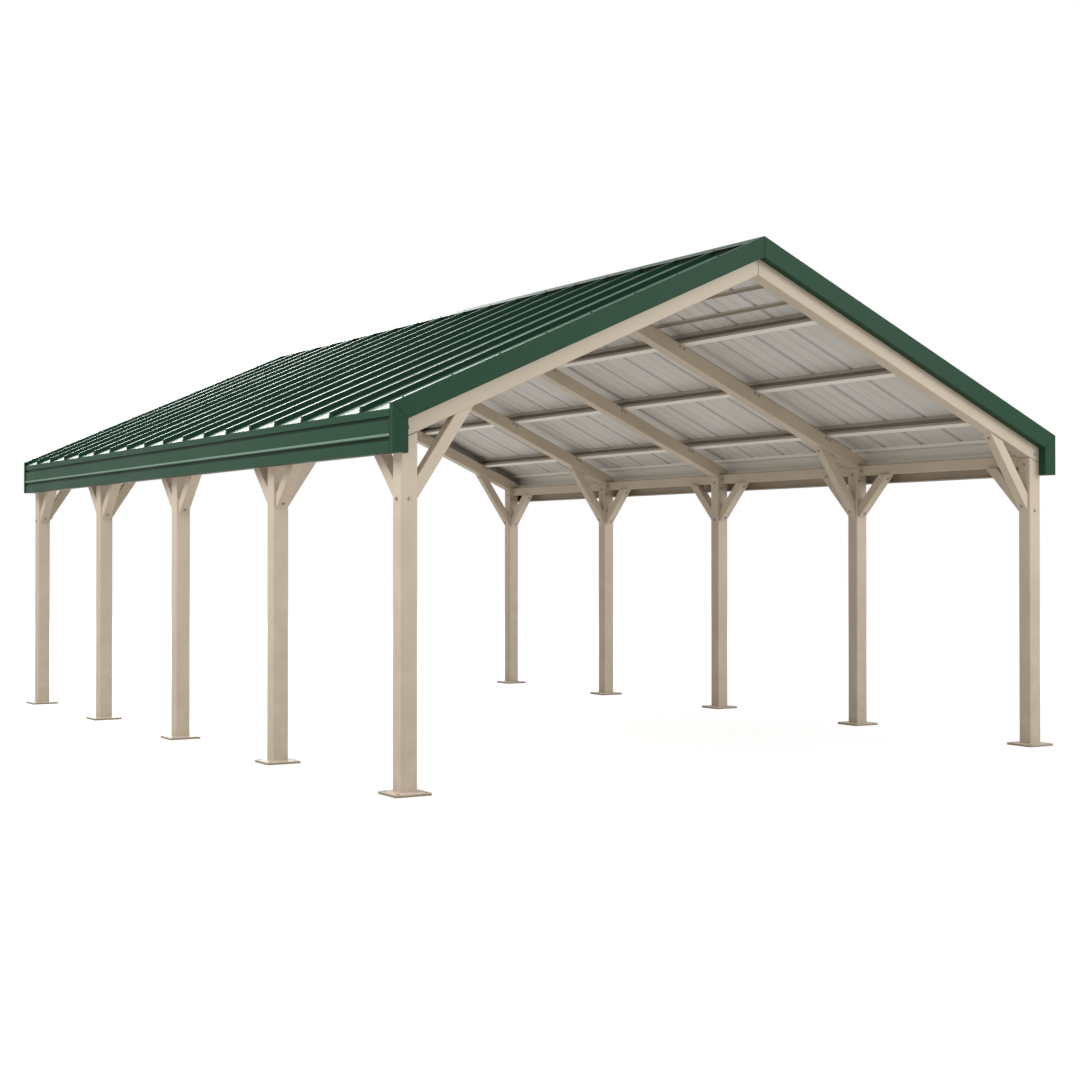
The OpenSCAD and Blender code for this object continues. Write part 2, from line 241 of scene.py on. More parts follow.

# %% [markdown]
# Beige powder coat
#
# The frame is sprayed with dry powder that melts in an oven to a satin skin. Close to, it has the fine
# ripple of an orange's peel, and from further away its tone drifts a little. Above the base plates the coat
# turns darker towards the ground. Splashed dirt darkens the edges of the plates, and painted shade fills
# the anchor holes, with a ring of dirt round each. A painted mask could place these, but the height and
# the distance from a hole's axis already say where they lie.


# %% Make the powder coat
def new_material(name, roughness, specular, metallic=0.0):
    """A Principled material with its plain values on its own sockets."""
    material = bpy.data.materials.new(name)
    material.use_nodes = True
    shader = material.node_tree.nodes["Principled BSDF"]
    shader.inputs["Roughness"].default_value = roughness
    shader.inputs["Specular IOR Level"].default_value = specular
    shader.inputs["Metallic"].default_value = metallic
    return material, material.node_tree, shader


def use(tree, group, **values):
    """Places a shared group in a material with its own values."""
    node = add(tree, "ShaderNodeGroup", node_tree=group)
    for key, value in values.items():
        node.inputs[key].default_value = value
    return node


def blend(tree, factor, first, second):
    """Mixes two colours by a value; each colour is a constant or another node's socket."""
    node = add(tree, "ShaderNodeMix", data_type="RGBA")
    tree.links.new(factor, node.inputs["Factor"])
    for socket, colour in ((node.inputs[6], first), (node.inputs[7], second)):
        if hasattr(colour, "is_linked"):
            tree.links.new(colour, socket)
        else:
            socket.default_value = (*colour, 1.0)
    return node.outputs[2]


def bump(tree, shader, height, depth, strength):
    """Raises the surface by a height value of up to the depth, in metres."""
    node = add(tree, "ShaderNodeBump", Distance=depth, Strength=strength)
    tree.links.new(height, node.inputs["Height"])
    tree.links.new(node.outputs["Normal"], shader.inputs["Normal"])


COAT_TONES = ((0.520, 0.437, 0.338), (0.575, 0.487, 0.383))
GROUND_FADE_BEIGE = (0.36, 0.306, 0.226)
SPLASH_BEIGE = (0.25, 0.205, 0.15)
HOLE_SHADE_AND_DIRT = (0.035, 0.028, 0.02)
BAY = post_y[2] - post_y[1]
HOLE_SPACING = 0.210
HOLE_RADIUS = 0.009
SHADE_AND_DIRT_FROM = 1.3 * HOLE_RADIUS
SHADE_AND_DIRT_TO = 1.9 * HOLE_RADIUS
PLATE_SKIN = 0.002


def hole_shade_and_dirt(tree, parts):
    """1 at an anchor hole, 0 past its ring, by the distance on plan from its axis, on the plates only."""
    # Painted shade in the hole itself, and a ring of dirt round it.
    across = math_node(tree, "SUBTRACT", math_node(tree, "ABSOLUTE", parts["X"]), RUN)
    across = math_node(tree, "ABSOLUTE", across)
    along = math_node(tree, "PINGPONG", parts["Y"], BAY / 2)
    gaps = [math_node(tree, "SUBTRACT", way, HOLE_SPACING / 2) for way in (across, along)]
    squares = [math_node(tree, "MULTIPLY", gap, gap) for gap in gaps]
    distance = math_node(tree, "SQRT", math_node(tree, "ADD", *squares))
    ring = spread(tree, distance, 1.0, 0.0, SHADE_AND_DIRT_FROM, SHADE_AND_DIRT_TO)
    on_plate = math_node(tree, "LESS_THAN", parts["Z"], PLATE_TOP + PLATE_SKIN)
    return math_node(tree, "MULTIPLY", ring, on_plate)


def beige_powder_coat():
    """Clouds set tone and gloss; darker towards the ground, dirty plate edges, painted shade in the holes.
    """
    material, tree, shader = new_material("beige_powder_coat", roughness=0.45, specular=0.35)
    cloud = use(tree, CLOUDS, Size=2.2)
    low_fade = use(tree, GROUND_FADE, Reach=2.2)
    tone = spread(tree, cloud.outputs["Clouds"], 0.0, 1.0)
    coat = blend(tree, tone, *COAT_TONES)
    parts = split(tree, own_place(tree))
    over_plate = math_node(tree, "GREATER_THAN", parts["Z"], PLATE_TOP + PLATE_SKIN)
    # The coat turns darker towards the ground, but not on the plates.
    fade_over_plate = math_node(tree, "MULTIPLY", low_fade.outputs["Dust"], over_plate)
    faded_low = blend(tree, fade_over_plate, coat, GROUND_FADE_BEIGE)
    splash = spread(tree, parts["Z"], 1.0, 0.0, 0.5 * PLATE_TOP, PLATE_TOP)
    splashed = blend(tree, splash, faded_low, SPLASH_BEIGE)
    # Painted shade darkens the anchor holes, with a ring of dirt round each.
    colour = blend(tree, hole_shade_and_dirt(tree, parts), splashed, HOLE_SHADE_AND_DIRT)
    tree.links.new(colour, shader.inputs["Base Color"])
    tree.links.new(spread(tree, cloud.outputs["Clouds"], 0.40, 0.52), shader.inputs["Roughness"])
    bump(tree, shader, cloud.outputs["Speckle"], depth=0.0006, strength=0.25)
    return material


BEIGE = beige_powder_coat()
print("finish:", BEIGE.name)

# %% [markdown]
# Green coil coat
#
# Sheet and trims are painted as flat coil before they are bent: green on the face, pale grey on the back.
# Two materials on two sets of faces could show that, but the parts are thin solids whose faces carry no
# marks, so one material paints both sides by the way a face looks. On a trim the back looks towards the
# middle of the building, so the place and the normal of a face, multiplied and summed, give a number below
# zero there. On the eave trim, painted shade darkens the grooves and a pale painted highlight lies on its
# bead.

# %% Make the coat of the trims
GREEN_TONES = ((0.013, 0.053, 0.027), (0.018, 0.062, 0.033))
GROOVE_SHADE_GREEN = (0.005, 0.021, 0.011)
BEAD_HIGHLIGHT_GREEN = (0.16, 0.25, 0.19)
BACKING_TONES = ((0.595, 0.578, 0.545), (0.685, 0.668, 0.635))
BACKING_FROM = 4.0
BEAD_REACH = 0.005
GROOVE_SHADE_DEPTH = 0.0072


def coil_tones_group():
    """The two sides of a painted coil: Drift mixes the greens of the face, Streaks the greys of the back."""
    shares = {"Drift": 0.5, "Streaks": 0.5}
    group, given, out = new_group("coil_coat_tones", shares, colours=("Face", "Back"))
    for name, share, tones in (("Face", "Drift", GREEN_TONES), ("Back", "Streaks", BACKING_TONES)):
        group.links.new(blend(group, given.outputs[share], *tones), out.inputs[name])
    return group


COIL_TONES = coil_tones_group()


def coil_tones(tree, drift, streaks):
    """The face and back colours of the coil for two noise values."""
    node = use(tree, COIL_TONES)
    for name, value in (("Drift", drift), ("Streaks", streaks)):
        tree.links.new(spread(tree, value, 0.0, 1.0), node.inputs[name])
    return node.outputs["Face"], node.outputs["Back"]


def looks_inward(tree, place):
    """1 below the sheet where a face looks towards the middle, by place times normal on plan."""
    plan = add(tree, "ShaderNodeVectorMath", operation="MULTIPLY")
    plan.inputs[1].default_value = (1.0, 1.0, 0.0)
    tree.links.new(place, plan.inputs[0])
    product = add(tree, "ShaderNodeVectorMath", operation="DOT_PRODUCT")
    tree.links.new(plan.outputs["Vector"], product.inputs[0])
    tree.links.new(facing(tree), product.inputs[1])
    parts = split(tree, place)
    fall = math_node(tree, "MULTIPLY", math_node(tree, "ABSOLUTE", parts["X"]), math.tan(PITCH))
    level = math_node(tree, "ADD", parts["Z"], fall)
    under = math_node(tree, "LESS_THAN", level, RIDGE_Z + PAN_W / math.cos(PITCH))
    inward = math_node(tree, "LESS_THAN", product.outputs["Value"], -BACKING_FROM)
    return math_node(tree, "MULTIPLY", inward, under)


def green_coil_coat(name, grooved):
    """The trims' coat; a grooved one gets painted shade behind its face and a painted highlight before it.
    """
    material, tree, shader = new_material(name, roughness=0.42, specular=0.09)
    cloud = use(tree, CLOUDS, Size=0.9)
    place = own_place(tree)
    colour, backing = coil_tones(tree, cloud.outputs["Clouds"], cloud.outputs["Clouds"])
    if grooved:
        # Painted shade in the grooves, and a painted highlight along the bead.
        out = math_node(tree, "ABSOLUTE", split(tree, place)["X"])
        face = bead_x - BEAD_REACH
        groove_shade = spread(tree, out, 1.0, 0.0, face - GROOVE_SHADE_DEPTH, face)
        colour = blend(tree, groove_shade, colour, GROOVE_SHADE_GREEN)
        bead_highlight = spread(tree, out, 0.0, 1.0, face, face + BEAD_REACH)
        colour = blend(tree, bead_highlight, colour, BEAD_HIGHLIGHT_GREEN)
    tree.links.new(blend(tree, looks_inward(tree, place), colour, backing), shader.inputs["Base Color"])
    tree.links.new(spread(tree, cloud.outputs["Clouds"], 0.34, 0.44), shader.inputs["Roughness"])
    bump(tree, shader, cloud.outputs["Clouds"], depth=0.004, strength=0.15)
    return material


GREEN = green_coil_coat("green_coil_coat", False)
GROOVED_GREEN = green_coil_coat("grooved_green_coat", True)
print("finishes:", GREEN.name, GROOVED_GREEN.name)

# %% [markdown]
# The roof sheet
#
# The steep sides of the ribs get painted shade, so that the ribs stand out against the pans.
# Below, the sheet shows its grey back with streaks up the slope, and painted shade with dirt along the
# stiffening lines. All this could be painted on a flattened copy of the sheet, but the way a face looks
# already tells the three apart.

# %% Make the coat of the roof sheet
RIB_SIDE_SHADE_GREEN = (0.008, 0.036, 0.019)
LINE_SHADE_AND_DIRT = (0.22, 0.20, 0.17)
LINE_SHARE = 0.40
LOOKS_DOWN = -0.02
LOOKS_SIDEWAYS = 0.5
LINE_STEP = 0.500 / 3
LINE_HALF = 0.009
LINE_CORE = 0.0018


def pan_lines(tree):
    """Thin lines up the slope: 1 where Y is a multiple of the step, 0 further than the half width."""
    along = math_node(tree, "ADD", split(tree, own_place(tree))["Y"], GABLE_Y)
    away = math_node(tree, "PINGPONG", along, LINE_STEP / 2)
    return spread(tree, away, 1.0, 0.0, LINE_CORE, LINE_HALF)


def two_sided_roof_sheet():
    """Green above, painted shade on rib sides, streaked grey below with lines of shade and dirt, by the true
    normal.
    """
    material, tree, shader = new_material("two_sided_roof_sheet", roughness=0.35, specular=0.08)
    cloud = use(tree, CLOUDS, Size=0.9)
    streak = use(tree, STREAKS, Fineness=1.0)
    look = split(tree, facing(tree))
    below = math_node(tree, "LESS_THAN", look["Z"], LOOKS_DOWN)
    sideways = math_node(tree, "ABSOLUTE", look["Y"])
    shaded_rib_side = math_node(tree, "GREATER_THAN", sideways, LOOKS_SIDEWAYS)
    face, back = coil_tones(tree, cloud.outputs["Clouds"], streak.outputs["Upslope"])
    # Painted shade: the steep sides of the ribs are darker.
    green = blend(tree, shaded_rib_side, face, RIB_SIDE_SHADE_GREEN)
    # Painted shade and dirt along the swage lines of the grey back.
    lined = blend(tree, math_node(tree, "MULTIPLY", pan_lines(tree), LINE_SHARE), back, LINE_SHADE_AND_DIRT)
    tree.links.new(blend(tree, below, green, lined), shader.inputs["Base Color"])
    tree.links.new(spread(tree, cloud.outputs["Clouds"], 0.30, 0.42), shader.inputs["Roughness"])
    bump(tree, shader, cloud.outputs["Clouds"], depth=0.0015, strength=0.35)
    return material


SHEET_COAT = two_sided_roof_sheet()
print("finish:", SHEET_COAT.name)

# %% [markdown]
# Bare metals and fillers
#
# The purlins and the eave strut are dull, pre-galvanised steel with long rolling marks and a faint spangle.
# Their flanges that look down, and the strut at the open eave, are painted paler as painted light.
# Full metal would mirror the white studio and lose its grey, so the metals are only partly metallic. Bolts
# and washers are zinc. Dark sealant fills the mitres of the trims and stands for the foam, and the same
# soft finish in a browner tone is dirt in a joint.

# %% Make the metals and fillers
BODY_TONES = ((0.40, 0.355, 0.295), (0.52, 0.47, 0.40))
LIT_FLANGE_TONES = ((0.84, 0.81, 0.75), (0.92, 0.89, 0.83))
CRYSTAL_GREY = (0.40, 0.37, 0.33)
CRYSTAL_SHARE = 0.25
FACES_DOWN = -0.8
ZINC_TONES = ((0.28, 0.275, 0.26), (0.42, 0.41, 0.39))


def dull_galvanising(name, body, flange):
    """Galvanised steel: body tones, and paler painted-light tones for down-facing flanges and the eave
    strut.
    """
    material, tree, shader = new_material(name, roughness=0.5, specular=0.4, metallic=0.1)
    streak = use(tree, STREAKS, Fineness=1.0)
    place = own_place(tree)
    spangle = add(tree, "ShaderNodeTexVoronoi", Scale=55.0)
    tree.links.new(place, spangle.inputs["Vector"])
    mark = spread(tree, streak.outputs["Lengthwise"], 0.0, 1.0)
    # Painted light: faces that look down, and the strut at the eave, take the paler tones.
    looks_down_lit = math_node(tree, "LESS_THAN", split(tree, facing(tree))["Z"], FACES_DOWN)
    outward = math_node(tree, "ABSOLUTE", split(tree, place)["X"])
    at_eave = math_node(tree, "GREATER_THAN", outward, RUN)
    painted_light = math_node(tree, "MAXIMUM", looks_down_lit, at_eave)
    metal = blend(tree, painted_light, blend(tree, mark, *body), blend(tree, mark, *flange))
    crystals = math_node(tree, "MULTIPLY", spangle.outputs["Distance"], CRYSTAL_SHARE)
    tree.links.new(blend(tree, crystals, metal, CRYSTAL_GREY), shader.inputs["Base Color"])
    tree.links.new(spread(tree, streak.outputs["Lengthwise"], 0.42, 0.58), shader.inputs["Roughness"])
    bump(tree, shader, spangle.outputs["Distance"], depth=0.0004, strength=0.2)
    return material


def dull_zinc():
    """Partly metallic grey in small clouds."""
    material, tree, shader = new_material("dull_zinc", roughness=0.45, specular=0.4, metallic=0.7)
    cloud = use(tree, CLOUDS, Size=40.0)
    tone = spread(tree, cloud.outputs["Clouds"], 0.0, 1.0)
    tree.links.new(blend(tree, tone, *ZINC_TONES), shader.inputs["Base Color"])
    tree.links.new(spread(tree, cloud.outputs["Clouds"], 0.38, 0.55), shader.inputs["Roughness"])
    bump(tree, shader, cloud.outputs["Speckle"], depth=0.0002, strength=0.2)
    return material


def soft_filler(name, dark, light):
    """A dull, soft stuff that drifts between two tones."""
    material, tree, shader = new_material(name, roughness=0.7, specular=0.2)
    cloud = use(tree, CLOUDS, Size=25.0)
    tone = spread(tree, cloud.outputs["Clouds"], 0.0, 1.0)
    tree.links.new(blend(tree, tone, dark, light), shader.inputs["Base Color"])
    tree.links.new(spread(tree, cloud.outputs["Clouds"], 0.62, 0.8), shader.inputs["Roughness"])
    bump(tree, shader, cloud.outputs["Clouds"], depth=0.001, strength=0.3)
    return material


GALVANISED = dull_galvanising("dull_galvanising", BODY_TONES, LIT_FLANGE_TONES)
DARK_STRIP = dull_galvanising("dark_strip", BODY_TONES, BODY_TONES)
ZINC = dull_zinc()
SEALANT = soft_filler("dark_sealant", (0.006, 0.014, 0.010), (0.014, 0.024, 0.018))
JOINT_DIRT = soft_filler("joint_dirt", (0.21, 0.17, 0.125), (0.27, 0.22, 0.165))
print("finishes:", GALVANISED.name, DARK_STRIP.name, ZINC.name, SEALANT.name, JOINT_DIRT.name)

# %% [markdown]
# Dressing the parts
#
# Finishes could be given by hand, part by part. But each part of the frame has a name that says what it is,
# so the name picks the finish, and a further part of the same kind would be dressed as well. Tubes, plates,
# beams and braces are beige, and what was bent from painted coil is green.


# %% Dress the frame
def finish_for(name):
    """The finish of a part, by what it is."""
    if any(word in name for word in ("panels", "cap")):
        return SHEET_COAT
    if "purlins" in name:
        return GALVANISED
    if "stiffeners" in name:
        return DARK_STRIP
    if "fascia" in name:
        return GROOVED_GREEN
    if any(word in name for word in ("rake", "corner")):
        return GREEN
    return BEIGE


for name, part in nodes.items():
    part.data.materials.clear()
    part.data.materials.append(finish_for(name))
print("finishes in use:", sorted({finish_for(name).name for name in nodes}))

# %% [markdown]
# Softened edges on the plates
#
# A flame-cut plate is ground smooth along its edges before it is painted, and a bright line runs along each
# edge. The rounding could be built into the plate, but a modifier leaves the exact part as it is. The
# plates come as loose triangles, so a Weld modifier joins them before a Bevel rounds the edges.

# %% Round the plate edges
TOUCHING = 0.00001
GROUND_EDGE = 0.004
SHARP = math.radians(50)
for side in SIDES:
    plate = nodes[f"{side}_base_plates"]
    plate.modifiers.new("join", "WELD").merge_threshold = TOUCHING
    edge = plate.modifiers.new("ground_edge", "BEVEL")
    edge.width = GROUND_EDGE
    edge.segments = 3
    edge.limit_method = "ANGLE"
    edge.angle_limit = SHARP
print("plate edges rounded by", GROUND_EDGE)

# %% [markdown]
# One way to make a new piece
#
# Every new piece here is a grid of points with two parameters. It could be built by hand from Blender's own
# shapes, but numpy works out whole arrays at once, and the formula stays in sight. One helper turns a grid
# into faces, another closes its ends, and a third puts the arrays into a mesh and lets it ride with the
# frame.


# %% Helpers for new pieces
def grid_faces(rows, columns, closed_rows):
    """Quads of a grid whose columns close on themselves, and whose rows do too where asked."""
    count = rows if closed_rows else rows - 1
    i, j = np.meshgrid(np.arange(count), np.arange(columns), indexing="ij")
    i2, j2 = (i + 1) % rows, (j + 1) % columns
    quads = np.stack([i * columns + j, i * columns + j2, i2 * columns + j2, i2 * columns + j], axis=-1)
    return quads.reshape(-1, 4)


def end_faces(rows, columns):
    """One face over the first row and one over the last, so that an open grid is closed."""
    first = np.arange(columns)[::-1]
    last = (rows - 1) * columns + np.arange(columns)
    return np.stack([first, last])


def make_piece(name, points, face_sets, material, slot):
    """Puts whole arrays into a mesh, gives it its finish and lets it ride with the frame."""
    mesh = bpy.data.meshes.new(name)
    mesh.from_pydata(points.tolist(), [], [face for faces in face_sets for face in faces.tolist()])
    mesh.materials.append(material)
    piece = bpy.data.objects.new(name, mesh)
    bpy.context.scene.collection.objects.link(piece)
    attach(piece, "root")
    print(name, len(mesh.vertices), "points", len(mesh.polygons), "faces")
    return piece


def joined(shapes):
    """One set of points and faces from several, the face numbers shifted past the points before them."""
    sizes = [len(points) for points, _ in shapes]
    shifts = np.concatenate([[0], np.cumsum(sizes)[:-1]])
    faces = [f + shift for (_, sets), shift in zip(shapes, shifts) for f in sets]
    return np.vstack([points for points, _ in shapes]), faces


# %% [markdown]
# Bolts, washers and screws
#
# The frame is held by hexagon bolts on round washers, and the sheet by smaller screws of the same kind.
# Each could be an object of its own, but hundreds of objects are slow to handle, so one head is worked out
# and carried to every place at once. A head is a surface of two parameters: the angle round the axis, and
# the ring from the washer's rim to the crown. The radius of a hexagon at an angle is its half width divided
# by the cosine of the angle from the nearest flat.

# %% Shape and carry a bolt head
CROWN_SHARE = 0.46
FLATS_SHARE = 0.78
NEARLY_UP = 0.9


def hexagon_head(width, height, washer_radius, washer, turns=12):
    """Rings of a bolt head on a washer: round washer, hexagon sides, and a round chamfer at the crown."""
    angle = np.arange(turns) * 2 * math.pi / turns
    from_flat = (angle + math.pi / 6) % (math.pi / 3) - math.pi / 6
    hexagon = width / 2 / np.cos(from_flat)
    rim = np.full(turns, washer_radius)
    crown = np.full(turns, CROWN_SHARE * width)
    radius = np.stack([rim, rim, hexagon, hexagon, crown])
    level = np.array([0.0, washer, washer, washer + FLATS_SHARE * height, washer + height])
    rings = np.stack([
        radius * np.cos(angle), radius * np.sin(angle), np.repeat(level[:, None], turns, axis=1),
    ], axis=-1)
    return rings.reshape(-1, 3), [grid_faces(len(level), turns, False), end_faces(len(level), turns)]


def carried(shape, places, normals, turn):
    """Copies of a shape: its Z axis goes along each normal, and it is turned about that by its own angle."""
    points, face_sets = shape
    helper = np.where(np.abs(normals[:, 2:3]) > NEARLY_UP, [[1.0, 0.0, 0.0]], [[0.0, 0.0, 1.0]])
    across = np.cross(helper, normals)
    across /= np.linalg.norm(across, axis=1, keepdims=True)
    along = np.cross(normals, across)
    c, s = np.cos(turn)[:, None], np.sin(turn)[:, None]
    axes = np.stack([c * across + s * along, c * along - s * across, normals], axis=1)
    moved = places[:, None, :] + np.einsum("pk,nkc->npc", points, axes)
    shift = np.arange(len(places))[:, None, None] * len(points)
    return moved.reshape(-1, 3), [(f[None] + shift).reshape(-1, f.shape[1]) for f in face_sets]


rng = np.random.default_rng(24)
FRAME_BOLT = hexagon_head(width=0.019, height=0.0085, washer_radius=0.0130, washer=0.0025)
ROOF_SCREW = hexagon_head(width=0.009, height=0.005, washer_radius=0.0090, washer=0.0022, turns=6)


def fasten(name, shape, rows, material=ZINC, slot="bolt_zinc"):
    """One piece from rows of places, each row with the one normal that its heads stand on."""
    places = [np.asarray(place, float).reshape(-1, 3) for place, _ in rows]
    normals = [np.broadcast_to(np.asarray(n, float), p.shape) for p, (_, n) in zip(places, rows)]
    places, normals = np.vstack(places), np.vstack(normals)
    turn = rng.uniform(0, math.pi / 3, len(places))
    return make_piece(name, *carried(shape, places, normals, turn), material, slot)


# %% [markdown]
# Bolts through the posts
#
# Each post has a bolt near its top on the inner face, where the rafter is fixed. The end posts also have
# one on each outer face at the height of the brace feet, and a post without a rafter brace has one in its
# place. The holes behind the heads never show, so only heads are made.

# %% Bolt the posts
rafter_foot_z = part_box("right_rafter_braces")[0].z
eave_foot_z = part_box("right_eave_braces")[0].z
END_POSTS = (1, 5)
TIP_BOLT = 0.012
UNDER_TIP = 0.035
rows = []
for side in SIDES.values():
    for n in POSTS:
        y = post_y[n]
        rows.append(([side * FACE, y, SEAT_Z - UNDER_TIP], [-side, 0, 0]))
        if n in END_POSTS:
            rows.append(([side * BACK, y, rafter_foot_z + TIP_BOLT], [side, 0, 0]))
        if n not in BRACED:
            rows.append(([side * FACE, y, rafter_foot_z + TIP_BOLT], [-side, 0, 0]))
        for way in (-1, 1):
            if n + way not in POSTS:
                rows.append(([side * RUN, y + way * POST / 2, rafter_foot_z + TIP_BOLT], [0, way, 0]))
fasten("post_bolts", FRAME_BOLT, rows)

# %% [markdown]
# Bolts in the braces
#
# A brace has a bolt near each end on its lower face. A box tells where a leaning tube starts but not how
# long it is, so its length follows from its lean: going up the brace, the rafter's underside falls behind
# by the slope of the roof, and the eave beam's underside is level.

# %% Bolt the braces
RAFTER_LEAN = math.radians(34)
EAVE_LEAN = math.radians(45)
BOLT_IN = 0.060
rise = slope_z(FACE, 0.0) - rafter_foot_z
rafter_reach = rise / (math.cos(RAFTER_LEAN) - math.sin(RAFTER_LEAN) * math.tan(PITCH))
eave_reach = (beam_low.z - eave_foot_z) / math.cos(EAVE_LEAN)
rows = []
for side in SIDES.values():
    step = np.array([-side * math.sin(RAFTER_LEAN), 0.0, math.cos(RAFTER_LEAN)])
    under = np.array([-side * math.cos(RAFTER_LEAN), 0.0, -math.sin(RAFTER_LEAN)])
    for n in BRACED:
        foot = np.array([side * FACE, post_y[n], rafter_foot_z])
        rows += [(foot + along * step, under) for along in (BOLT_IN, rafter_reach - BOLT_IN)]
    for n in POSTS:
        for way in (-1, 1):
            if n + way not in POSTS:
                continue
            foot = np.array([side * RUN, post_y[n] + way * POST / 2, eave_foot_z])
            step_y = np.array([0.0, way * math.sin(EAVE_LEAN), math.cos(EAVE_LEAN)])
            under_y = np.array([0.0, way * math.cos(EAVE_LEAN), -math.sin(EAVE_LEAN)])
            rows += [(foot + along * step_y, under_y) for along in (BOLT_IN, eave_reach - BOLT_IN)]
fasten("brace_bolts", FRAME_BOLT, rows)

# %% [markdown]
# Bolts in the rafters and cleats
#
# A rafter has one bolt over its post on each face, and a pair below each purlin on a face that looks into a
# bay. The angle cleats at the beam ends have two bolts into the post, one under the beam and one over it,
# and one into the beam. Left and right differ only in sign, and so do the two faces of a post, so loops
# over the signs place them all.

# %% Bolt the rafters and cleats
PURLIN_START = 0.945
PURLIN_BACK = 0.485
slope_end = slope_u(BACK, RAFTER_DEPTH)
purlin_webs = np.linspace(PURLIN_START, slope_end - PURLIN_BACK, 3)
PAIR = np.array([-0.010, -0.055])
PAIR_DROP = 0.030
CLEAT = 0.042
CLEAT_METAL = 0.005
UNDER_BEAM = 0.050
OVER_BEAM = 0.010
OVER_POST_W = 0.050
rows = []
for side in SIDES.values():
    cleat_x = side * (beam_low.x - CLEAT / 2)
    for n in POSTS:
        for way in (-1, 1):
            face_y = post_y[n] + way * POST / 2
            out = [0, way, 0]
            rows.append((slope_point(side, slope_u(RUN, OVER_POST_W), face_y, OVER_POST_W), out))
            if n + way not in POSTS:
                continue
            pairs = (purlin_webs[:, None] + PAIR).ravel()
            rows.append((slope_point(side, pairs, face_y, RAFTER_DEPTH - PAIR_DROP), out))
            for height in (beam_low.z - UNDER_BEAM, beam_high.z + OVER_BEAM):
                rows.append(([cleat_x, face_y + way * CLEAT_METAL, height], out))
            beam_y = face_y + way * (CLEAT + CLEAT_METAL) / 2
            beam_face = [side * (beam_low.x - CLEAT_METAL), beam_y, (beam_low.z + beam_high.z) / 2]
            rows.append((beam_face, [-side, 0, 0]))
fasten("rafter_and_cleat_bolts", FRAME_BOLT, rows)

# %% [markdown]
# Roof screws
#
# Ribbed sheet is fixed through its pans into every purlin with small screws on sealing washers, painted to
# match. Two stand beside each rib. The ridge cap is screwed into each rib crown, and the gable trims are
# screwed along their top flange. There are hundreds of them, so each head has few faces.

# %% Screw down the roof
RIBS = 17
rib_y = np.linspace(-GABLE_Y, GABLE_Y, RIBS + 2)[1:-1]
BESIDE = 0.045
PURLIN_HALF = 0.029
CAP_SCREW_X = 0.105
TRIM_SCREW_IN = 0.023
TRIM_SCREW_U = np.linspace(0.35, 3.25, 8)
STRUT_SCREW_IN = 0.015
strut_u = slope_u(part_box("right_purlins")[1].x - STRUT_SCREW_IN, PAN_W)
lines_u = np.append(purlin_webs - PURLIN_HALF, strut_u)
u, y = np.meshgrid(lines_u, np.concatenate([rib_y - BESIDE, rib_y + BESIDE]), indexing="ij")
rows = []
for side in SIDES.values():
    up = slope_up(side)
    rows.append((slope_point(side, u.ravel(), y.ravel(), PAN_W + SHEET), up))
    rows.append((slope_point(side, slope_u(CAP_SCREW_X, CROWN_W), rib_y, CROWN_W + SHEET), up))
    for gable in (-1, 1):
        trim_y = gable * (GABLE_Y - TRIM_SCREW_IN)
        rows.append((slope_point(side, TRIM_SCREW_U, trim_y, CROWN_W), up))
fasten("roof_screws", ROOF_SCREW, rows, GREEN, "roof_green")

# %% [markdown]
# Weld beads
#
# The posts are welded to their plates and to the rafters. A weld could be painted on, but it catches the
# light as a small fillet, so it is a round section carried along the joint. Its radius swells and shrinks a
# little, once for each drop of weld, and half of it sinks into the joint.

# %% Lay the weld beads
BEAD_SIDES = 8


def square_path(half, radius, x, y, steps=24):
    """Even points round a square with round corners: a straight side and an arc, turned four times."""
    flat = 2 * (half - radius)
    way = np.arange(steps) / steps * (flat + radius * math.pi / 2)
    bend = np.clip((way - flat) / radius, 0.0, math.pi / 2)
    px = half - radius + radius * np.cos(bend)
    py = np.minimum(way, flat) - flat / 2 + radius * np.sin(bend)
    round_it = np.concatenate([(px + 1j * py) * 1j ** quarter for quarter in range(4)])
    return np.stack([x + round_it.real, y + round_it.imag], axis=-1)


def bead(path, wide, high, out, closed, ripple=0.0):
    """An oval section carried along a path: out is the way it stands proud, across is square to it."""
    ahead = np.gradient(path, axis=0) if not closed else np.roll(path, -1, 0) - np.roll(path, 1, 0)
    ahead /= np.linalg.norm(ahead, axis=1, keepdims=True)
    out = np.broadcast_to(np.asarray(out, float), path.shape)
    across = np.cross(out, ahead)
    across /= np.linalg.norm(across, axis=1, keepdims=True)
    turns = np.arange(BEAD_SIDES) * 2 * math.pi / BEAD_SIDES
    swell = 1 + ripple * np.sin(np.arange(len(path)) * math.pi / 2)[:, None, None]
    sideways = wide * np.cos(turns)[None, :, None] * across[:, None]
    proud = high * np.sin(turns)[None, :, None] * out[:, None]
    points = (path[:, None] + swell * (sideways + proud)).reshape(-1, 3)
    faces = [grid_faces(len(path), BEAD_SIDES, closed)]
    return points, faces if closed else faces + [end_faces(len(path), BEAD_SIDES)]


